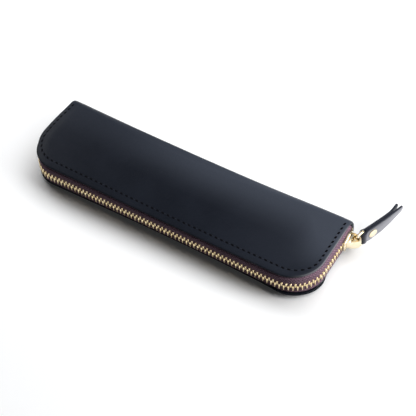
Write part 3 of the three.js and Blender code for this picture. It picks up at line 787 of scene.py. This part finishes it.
# %% One tooth
TOOTH_TOP, TOOTH_TIP, TOOTH_NECK = 2.9 * MM, -0.7 * MM, 0.7 * MM
TOOTH_WIDE, TOOTH_DEEP = 1.0 * MM, 2.0 * MM
tooth = start_box((TOOTH_WIDE, TOOTH_DEEP, TOOTH_TOP - TOOTH_TIP), (0, 0, (TOOTH_TOP + TOOTH_TIP) / 2))
cut("Z", [TOOTH_NECK])
for level, wide, deep in ((TOOTH_TIP, 1.16, 0.72), (TOOTH_TOP, 1.0, 0.95)):
    pick("VERT", lambda v: abs(v.co.z - level) < HAIR)
    bpy.ops.transform.resize(value=(wide, deep, 1), center_override=(0, 0, 0))
pick("EDGE", lambda e: e.calc_face_angle() > 0.7)
bpy.ops.mesh.bevel(offset=0.2 * MM, segments=1, affect="EDGES")
smooth(tooth, 40)
dress(tooth, brass_finish)
print("tooth:", len(tooth.data.polygons), "faces")

# %% [markdown]
# The tooth is copied along both rows at an even pitch, the lower row half a pitch on and upside down.
# Each row is joined in two runs, as the CAD rows are: up to the slider's reach, and the rest, which the
# slider parts. The stops keep their CAD shape and get the brass finish.

# %% Tooth rows
FIRST_TOOTH, LAST_ROOM = 4.06 * MM, 2.2 * MM


def clamp_tooth(run, side):
    edge, facing = chain_at(run)
    rise = Vector((0, 0, side))
    middle = edge + facing * CHAIN_OUT + Vector((0, 0, MID_Z + side * spread_at(run)))
    return copy_at(tooth, middle, (facing.cross(rise), -facing, rise))


for name, side, body in (("upper", 1, "lid"), ("lower", -1, "base")):
    first = FIRST_TOOTH + (0 if side > 0 else PITCH / 2)
    main = int((CHAIN_RUN - END_RUN - first) / PITCH)
    last = int((CHAIN_RUN - LAST_ROOM - first) / PITCH)
    for run_name, numbers in (("teeth", range(main)), ("end_teeth", range(main, last + 1))):
        row = join([clamp_tooth(first + n * PITCH, side) for n in numbers], f"{run_name}_{name}")
        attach(row, body)
        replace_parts(row, f"{name}_{run_name}")
        print(row.name, len(numbers), "teeth")
bpy.data.objects.remove(tooth)
for node in ("upper_top_stop", "lower_top_stop", "bottom_stop"):
    dress(frame["nodes"][node], brass_finish)

# %% [markdown]
# The case is sewn by hand with a saddle stitch, about 3.6 mm long. A pricking iron leaves slanted
# slits, and each stitch is a short thread that comes up from one slit and dives into the next: a low
# sphere drawn long, with its ends pushed down. The slits are small lenses of painted shade between the
# stitches.

# %% Stitches
STITCH, DIVE = 3.6 * MM, 0.25 * MM
THREAD_HALF = (STITCH * 0.34, 0.3 * MM, 0.26 * MM)
SLIT_HALF, SLANT = (1.28 * MM, 0.6 * MM, 0.16 * MM), math.radians(14)
let_go()
bpy.ops.mesh.primitive_uv_sphere_add(segments=8, ring_count=8, radius=1, enter_editmode=True)
stitch = bpy.context.object
bpy.ops.transform.rotate(value=math.pi / 2, orient_axis="Y", center_override=(0, 0, 0))
bpy.ops.transform.resize(value=THREAD_HALF, center_override=(0, 0, 0))
pick("VERT", lambda v: abs(v.co.x) > STITCH / 4)
bpy.ops.transform.translate(value=(0, 0, -DIVE))
smooth(stitch, 80)
dress(stitch, thread_finish)
# A slit is a low lens of painted shade.
bpy.ops.mesh.primitive_uv_sphere_add(segments=10, ring_count=6, radius=1, enter_editmode=True)
slit_shade = bpy.context.object
bpy.ops.transform.resize(value=SLIT_HALF, center_override=(0, 0, 0))
bpy.ops.transform.rotate(value=SLANT, orient_axis="Z", center_override=(0, 0, 0))
smooth(slit_shade, 80)
dress(slit_shade, hole_shade_finish)
print("stitch:", len(stitch.data.polygons), "faces, slit:", len(slit_shade.data.polygons))

# %% [markdown]
# Both are copied along the seam at an even step. It runs 5 mm inside the edge on the near side and
# closer to it at the ends, where the zip draws the leather in. Near the spine the leather already turns
# down, so each copy is dropped on to the fold there. The lattice then carries them with the leather.

# %% Sewn seams
END_SEAM_IN, SEAM_DEPTH, SEAM_SPARE = 2.8 * MM, 0.1 * MM, 5 * MM
SEAM_RUN = path_length(-SEAM_IN)
STITCHES = int((SEAM_RUN - SEAM_SPARE) / STITCH)
SEAM_START = (SEAM_RUN - STITCHES * STITCH) / 2


def sewn_in(pattern, run, side):
    """A copy of a stitch or a slit on the leather's surface at a length of the seam."""
    edge, facing = path_at(run, -SEAM_IN)
    point = edge - facing * (END_SEAM_IN + (SEAM_IN - END_SEAM_IN) * facing.y ** 2)
    surface = folded(point + drawn(point, side) + Vector((0, 0, THICK - SEAM_DEPTH)))
    tilt = Vector((0, 0, 1))
    if point.y > FOLD_Y:
        tilt = Vector((0, surface.y - FOLD_Y, surface.z - THICK + FOLD_R))
    tilt = Vector((0, tilt.y, tilt.z * side)).normalized()
    surface.z = MID_Z + side * (surface.z - MID_Z)
    along = facing.cross(tilt).normalized()
    return copy_at(pattern, surface, (along, tilt.cross(along), tilt))


def sew(pattern, name, side, body, shift, count):
    seam = join([sewn_in(pattern, SEAM_START + (n + shift) * STITCH, side) for n in range(count)], name)
    # The leather's painted sheen, which the thread's finish reads.
    paint(seam, "painted_sheen", painted_sheen_at)
    settle(seam)
    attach(seam, body)
    print(name, count, "copies")
    return seam


for name, side, body in (("upper", 1, "lid"), ("lower", -1, "base")):
    seam = sew(stitch, f"stitches_{name}", side, body, 0.5, STITCHES)
    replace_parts(seam, f"{name}_seam_thread")
    # Then the slits, lenses of painted shade.
    sew(slit_shade, f"shade_slits_{name}", side, body, 0, STITCHES + 1)
for spent in (stitch, slit_shade, cage):
    bpy.data.objects.remove(spent)

# %% [markdown]
# The slider is a casting: two plates with rails along their sides, held apart by a wedge at the front,
# and an arch on the outer plate that carries the pull. One plate is shaped from a cube. Cuts across it
# are drawn wider or narrower to the outline, listed as places along it and half widths in millimetres.
# Its rim is bevelled and its rails are extruded inwards. The other plate is its mirror image.

# %% Slider plates
SLIDER_AT = Vector((LENGTH / 2 + CHAIN_OUT, SLIDER_Y, MID_Z))
CHANNEL, PLATE, RAIL, RAIL_GAP = 1.16 * MM, 1.1 * MM, 0.85 * MM, 0.7 * MM
PLAN = [(-5.2, 3.5), (-4.9, 3.9), (-4.2, 4.0), (-2.6, 4.05), (-1.4, 4.35), (-0.2, 4.9), (0.8, 5.2),
        (1.7, 5.3), (2.8, 5.15), (3.9, 4.6), (4.7, 3.8), (5.2, 2.8)]
SLIDER_LONG = (PLAN[-1][0] - PLAN[0][0]) * MM
slider = start_box((PLATE, SLIDER_LONG, 2 * MM), (CHANNEL + PLATE / 2, 0, 0))
cut("Y", [along * MM for along, half in PLAN[1:-1]])
for along, half in PLAN:
    pick("VERT", lambda v: abs(v.co.y - along * MM) < HAIR)
    bpy.ops.transform.resize(value=(1, 1, half), center_override=(0, 0, 0))
pick("FACE", lambda f: f.normal.x < -0.9)
bpy.ops.mesh.inset(thickness=RAIL)
pick("FACE", lambda f: f.normal.x < -0.9 and abs(f.calc_center_median().z) > 2.6 * MM)
bpy.ops.mesh.extrude_region_move(TRANSFORM_OT_translate={"value": (RAIL_GAP - CHANNEL, 0, 0)})
outer_face = CHANNEL + PLATE
pick("EDGE", lambda e: all(v.co.x > outer_face - HAIR for v in e.verts) and e.calc_face_angle() > 0.5)
bpy.ops.mesh.bevel(offset=0.5 * MM, segments=3, affect="EDGES")
pick("FACE", lambda f: f.normal.x > 0.999)
bpy.ops.mesh.inset(thickness=0.9 * MM)
bpy.ops.transform.translate(value=(0.22 * MM, 0, 0))
pick_all()
bpy.ops.mesh.duplicate()
bpy.ops.transform.resize(value=(-1, 1, 1), center_override=(0, 0, 0))
bpy.ops.mesh.flip_normals()
print("slider plates:", len(bmesh.from_edit_mesh(slider.data).faces), "faces")

# %% [markdown]
# The wedge is a small cube drawn to a point towards the closed chain. A boss stands on the outer plate,
# under the arch: a cube whose outer face is drawn in and whose free edges are rounded by a wide bevel.

# %% Wedge and boss
wedge = start_box((2 * CHANNEL + 0.2 * MM, 3.4 * MM, 1.56 * MM), (0, 2.6 * MM, 0))
cut("Y", [3.0 * MM])
pick("VERT", lambda v: v.co.y < 2 * MM)
bpy.ops.transform.resize(value=(1, 1, 0.15), center_override=(0, 0, 0))
boss = start_box((2.2 * MM, 8 * MM, 6.6 * MM), (outer_face + 0.9 * MM, 0.4 * MM, 0))
pick("FACE", lambda f: f.normal.x > 0.9)
bpy.ops.transform.resize(value=(1, 0.8, 0.8))
pick("EDGE", lambda e: any(v.co.x > outer_face for v in e.verts))
bpy.ops.mesh.bevel(offset=1.2 * MM, segments=4, affect="EDGES")
let_go()
print("wedge and boss:", len(wedge.data.polygons), "and", len(boss.data.polygons), "faces")

# %% [markdown]
# The arch stands over the boss and leans to the front. A Bezier curve gives its line, a round section
# its body, and a stretch across the zip makes it wide, with its sides cut flat. Then plates, wedge, boss
# and arch are joined, because the slider is one casting.

# %% Arch
ARCH_FOOT = outer_face - 0.2 * MM
STRAP_THICK, STRAP_WIDE = 1.4 * MM, 6.0 * MM
bpy.ops.curve.primitive_bezier_curve_add()
arch = bpy.context.object
line = arch.data.splines[0].bezier_points
for knot in line:
    knot.handle_left_type = knot.handle_right_type = "FREE"
line[0].co, line[0].handle_right = (ARCH_FOOT, -2.65 * MM, 0), (ARCH_FOOT + 6.75 * MM, -0.7 * MM, 0)
line[1].co, line[1].handle_left = (ARCH_FOOT, 4.15 * MM, 0), (ARCH_FOOT + 9.05 * MM, 4.75 * MM, 0)
arch.data.resolution_u, arch.data.bevel_resolution = 22, 4
arch.data.bevel_depth, arch.data.use_fill_caps = STRAP_THICK / 2, True
bpy.ops.object.convert(target="MESH")
arch = bpy.context.object
take(arch, "EDIT")
pick_all()
bpy.ops.transform.resize(value=(1, 1, 1.25 * STRAP_WIDE / STRAP_THICK), center_override=(0, 0, 0))
for side in (1, -1):
    pick_all()
    bpy.ops.mesh.bisect(plane_co=(0, 0, side * STRAP_WIDE / 2), plane_no=(0, 0, side), clear_outer=True,
                        use_fill=True)
pick_all()
bpy.ops.mesh.normals_make_consistent(inside=False)
slider = join([slider, wedge, boss, arch], "slider")
slider.data.transform(Matrix.Translation(SLIDER_AT))
smooth(slider, 38)
dress(slider, gold_finish)
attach(slider, "slider")
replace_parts(slider, "slider_body")
print("slider:", len(slider.data.polygons), "faces", [round(x / MM, 1) for x in slider.dimensions])

# %% [markdown]
# The link is a bent wire, so it is drawn as a line and given a round section: a rounded rectangle from
# a plane with bevelled corners, turned into a curve, thickened and made a mesh again. It runs under the
# slider's arch and through the fold of the tab.

# %% Link
LINK_REACH, LINK_HIGH = 4.74 * MM, 12.6 * MM
LINK_BEND, WIRE = 1.4 * MM, 1.66 * MM
let_go()
bpy.ops.mesh.primitive_plane_add(size=1, enter_editmode=True)
link = named("link")
bpy.ops.transform.resize(value=(LINK_REACH, LINK_HIGH - WIRE, 1))
bpy.ops.transform.translate(value=(LINK_REACH / 2, 0, 0))
bpy.ops.mesh.bevel(affect="VERTICES", offset=LINK_BEND, segments=6)
bpy.ops.mesh.delete(type="ONLY_FACE")
take(link)
bpy.ops.object.convert(target="CURVE")
link = bpy.context.object
link.data.bevel_depth, link.data.bevel_resolution = WIRE / 2, 5
bpy.ops.object.convert(target="MESH")
link = bpy.context.object
reach, upward = (FAR_BAR - PIN).normalized(), Vector((0, 0, 1))
link.data.transform(placing(PIN, (reach, upward, reach.cross(upward))))
smooth(link, 60)
dress(link, gold_finish)
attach(link, "link")
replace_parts(link, "pull_link")
print("link:", len(link.data.polygons), "faces")

# %% [markdown]
# The tab is one strip of leather folded over the link. It leaves the link in one direction and bends
# slowly into another, rises a little and tapers. Its two layers lie close, but round the bar they form a
# loop, and at the tips they part. A few functions give all that by the length from the link.

# %% Line of the tab
TAB_LONG, TAB_TAPER, TAB_LAYER = 31 * MM, 27.4 * MM, 1.3 * MM
TAB_WAIST, TAB_HALF, TAB_TIP = 4.5 * MM, 5.0 * MM, 1.6 * MM
TAB_RISE, TIP_OPEN, TIP_ROUND = 1.8 * MM, 0.75 * MM, 0.7 * MM
LOOP_R, LOOP_LONG, LAYER_GAP = 0.86 * MM, 2.6 * MM, 0.16 * MM
TAB_START, TAB_END = 67, 85
FAR_SHORT = 0.4 * MM
LINE_STEPS = 60


def plan_direction(degrees):
    return Vector((math.cos(math.radians(degrees)), math.sin(math.radians(degrees)), 0))


def tab_angle(length):
    return TAB_START + (TAB_END - TAB_START) * ramp(length / TAB_LONG, 0.3, 0.95)


def tab_line(length):
    point = FAR_BAR.copy()
    for step in range(LINE_STEPS):
        point += plan_direction(tab_angle((step + 0.5) * length / LINE_STEPS)) * length / LINE_STEPS
    return point


def layer_gap(length):
    loop = (LOOP_R - LAYER_GAP) * (1 - ramp(length, 0, LOOP_LONG))
    return LAYER_GAP + loop + TIP_OPEN * ramp(length, TAB_LONG - 10 * MM, TAB_LONG)


def tab_rise(length):
    return TAB_RISE * ramp(length, 2 * MM, 20 * MM)


def tab_half(length):
    wide = TAB_WAIST + (TAB_HALF - TAB_WAIST) * ramp(length, 1 * MM, 3.6 * MM)
    taper = max(0, (length - TAB_LONG + TAB_TAPER) / TAB_TAPER)
    return wide - (wide - TAB_TIP) * taper ** 1.7


print("tab ends", round((tab_line(TAB_LONG) - FAR_BAR).length / MM, 1), "mm from the link")

# %% [markdown]
# The strip starts as a flat grid and is laid along that line: in along the near layer, round the bar and
# out on the far one. Before that it gets its painted sheen, which is easy to place while it is flat.
# Solidify and a bevel make it leather with slicked edges.

# %% Pull tab
def on_strip(share, across):
    """A point of the strip's middle surface: share runs from the near tip, 0, round the link to 1."""
    bend_run = math.pi * (LOOP_R + TAB_LAYER / 2)
    far_long = TAB_LONG - FAR_SHORT
    run = share * (TAB_LONG + bend_run + far_long)
    if TAB_LONG < run < TAB_LONG + bend_run:
        angle = TAB_START - 90 - 180 * (run - TAB_LONG) / bend_run
        point = FAR_BAR + plan_direction(angle) * (LOOP_R + TAB_LAYER / 2)
        return point + Vector((0, 0, across * TAB_WAIST))
    hand = 1 if run <= TAB_LONG else -1
    length = TAB_LONG - run if hand > 0 else run - TAB_LONG - bend_run
    whole = TAB_LONG if hand > 0 else far_long
    half = tab_half(length + TAB_LONG - whole)
    length -= TIP_ROUND * across ** 2 * ramp(length, whole - 3 * MM, whole)
    side = plan_direction(tab_angle(length) - 90) * hand * (layer_gap(length) + TAB_LAYER / 2)
    return tab_line(length) + side + Vector((0, 0, across * half + tab_rise(length)))


def tab_painted_sheen(strip):
    """A painted sheen on the near layer from the link on, less towards its upper edge."""
    length = 2 * TAB_LONG * -strip.x
    across = (0.6 + 0.4 * (1 - ramp(strip.y, -0.1, 0.45))) * (1 - ramp(strip.y, 0.43, 0.49))
    return ramp(length, 0.5 * MM, 5 * MM) * across


let_go()
bpy.ops.mesh.primitive_grid_add(x_subdivisions=90, y_subdivisions=8, size=1)
tab = named("pull_tab_leather")
# A painted sheen on the near layer.
paint(tab, "painted_sheen", tab_painted_sheen)
for vertex in tab.data.vertices:
    vertex.co = on_strip(vertex.co.x + 0.5, vertex.co.y * 2)
put_on(tab, "SOLIDIFY", thickness=TAB_LAYER, offset=0, use_even_offset=True)
take(tab, "EDIT")
pick("EDGE", is_arris)
bpy.ops.mesh.bevel(offset=0.35 * MM, segments=3, affect="EDGES", clamp_overlap=False)
pick_all()
bpy.ops.mesh.normals_make_consistent(inside=False)
smooth(tab, 45)
dress(tab, tab_finish)
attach(tab, "tab")
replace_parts(tab, "pull_tab")
print("tab:", len(tab.data.polygons), "faces")

# %% [markdown]
# A tubular rivet closes the tab. Its two heads are low domes: a cylinder whose outer face is inset and
# lifted in steps. Its inner face is inset and extruded to the shank, which is hidden in the leather.

# %% Rivet
RIVET_AT, RIVET_R, SHANK_R = 6 * MM, 2.85 * MM, 1.1 * MM
RIVET_FACE = layer_gap(RIVET_AT) + TAB_LAYER
let_go()
heads = []
for hand in (1, -1):
    bpy.ops.mesh.primitive_cylinder_add(vertices=28, radius=RIVET_R, depth=0.5 * MM, enter_editmode=True)
    heads.append(bpy.context.object)
    pick("FACE", lambda f: f.normal.z > 0.9)
    for step, rise in ((0.35, 0.22), (0.6, 0.2), (0.7, 0.12), (0.7, 0.05)):
        bpy.ops.mesh.inset(thickness=step * MM)
        bpy.ops.transform.translate(value=(0, 0, rise * MM))
    pick("FACE", lambda f: f.normal.z < -0.9)
    bpy.ops.mesh.inset(thickness=RIVET_R - SHANK_R)
    bpy.ops.mesh.extrude_region_move(TRANSFORM_OT_translate={"value": (0, 0, -RIVET_FACE)})
    let_go()
    across = plan_direction(tab_angle(RIVET_AT) - 90) * hand
    along = plan_direction(tab_angle(RIVET_AT))
    middle = tab_line(RIVET_AT) + across * (RIVET_FACE + 0.2 * MM)
    middle.z += tab_rise(RIVET_AT)
    heads[-1].data.transform(placing(middle, (along, across.cross(along), across)))
rivet = join(heads, "rivet")
smooth(rivet, 45)
dress(rivet, gold_finish)
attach(rivet, "tab")
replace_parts(rivet, "rivet_post", "rivet_cap")
print("rivet:", len(rivet.data.polygons), "faces")

# %% [markdown]
# The studio starts with a white floor. It keeps the case's shadow, and to the case it looks grey, so
# that it throws little light back and the near side stays dark. A faint glow lifts the darkest shadow.

# %% White floor
FLOOR_SEEN, FLOOR_BOUNCE, FLOOR_GLOW = (0.935, 0.942, 0.953), (0.2, 0.2, 0.2), 0.015
let_go()
bpy.ops.mesh.primitive_plane_add(size=8, location=(0, 0, -0.1 * MM))
floor = bpy.context.object
floor.name = "floor"
floor_finish = bpy.data.materials.new("white floor")
floor_finish.use_nodes = True
tree = floor_finish.node_tree
tree.nodes.clear()


def seen_directly(tree):
    """1 for rays from the camera and from mirrors or glass, else 0."""
    rays = add_node(tree, "LightPath")
    first = add_node(tree, "Math", {0: rays.outputs["Is Camera Ray"], 1: rays.outputs["Is Glossy Ray"]},
                     operation="MAXIMUM")
    both = add_node(tree, "Math", {0: first.outputs[0], 1: rays.outputs["Is Transmission Ray"]},
                    operation="MAXIMUM")
    return both.outputs[0]


bounce = add_node(tree, "LightPath").outputs["Is Diffuse Ray"]
paper = add_node(tree, "BsdfDiffuse", {"Color": colour_mix(tree, bounce, FLOOR_SEEN, FLOOR_BOUNCE)})
glow = add_node(tree, "Emission", {"Strength": blend_of(tree, seen_directly(tree), 0, FLOOR_GLOW)})
both = add_node(tree, "AddShader", {0: paper.outputs[0], 1: glow.outputs[0]})
tree.links.new(both.outputs[0], add_node(tree, "OutputMaterial").inputs[0])
dress(floor, floor_finish)
print("floor", floor.dimensions.x, "m wide")

# %% [markdown]
# The surround is white too. Seen in the leather and the metal it is brightest over the near right side
# and darker behind, which gives them their sheen, and it lights the case only a little. A long soft key
# light stands behind and above, as the photo's shadow along the near side says. Two small lamps behind
# the case's ends make the shadow lighter there.

# %% Surround and lamps
SKY_AIM, SKY_DARK, SKY_LIT = (0.38, -0.65, 0.65), 0.3, 0.03
world = bpy.data.worlds.new("studio")
bpy.context.scene.world = world
world.use_nodes = True
tree = world.node_tree
sky = tree.nodes["Background"]
heading = add_node(tree, "TexCoord").outputs["Generated"]
slope = add_node(tree, "VectorMath", {0: heading}, operation="DOT_PRODUCT")
slope.inputs[1].default_value = SKY_AIM
walls = add_node(tree, "MapRange", {"Value": slope.outputs["Value"]}, From_Min=0.1, From_Max=0.8,
                 To_Min=SKY_DARK, To_Max=1.0)
shown = add_node(tree, "MapRange", {"Value": seen_directly(tree), "To Max": walls.outputs[0]}, To_Min=SKY_LIT)
tree.links.new(shown.outputs[0], sky.inputs["Strength"])
sky.inputs["Color"].default_value = (1, 1, 1, 1)


def soft_box(name, place, aim, size, watts):
    lamp = bpy.data.objects.new(name, bpy.data.lights.new(name, "AREA"))
    bpy.context.scene.collection.objects.link(lamp)
    lamp.location = place
    lamp.rotation_euler = (Vector(aim) - Vector(place)).to_track_quat("-Z", "Y").to_euler()
    lamp.data.shape = "RECTANGLE"
    lamp.data.size, lamp.data.size_y, lamp.data.energy = *size, watts
    return lamp


key = soft_box("key", (0.25, 1.1, 1.75), (0.03, 0, 0), (5.0, 1.4), 80)
key.visible_glossy = False
soft_box("right", (0.42, 0.08, 0.17), (0.08, 0, 0), (0.2, 0.2), 1.2)
soft_box("left", (-0.44, 0.14, 0.26), (-0.08, 0, 0), (0.2, 0.2), 0.7)
bpy.context.scene.view_settings.view_transform = "Standard"
print("studio lit by 3 lamps")
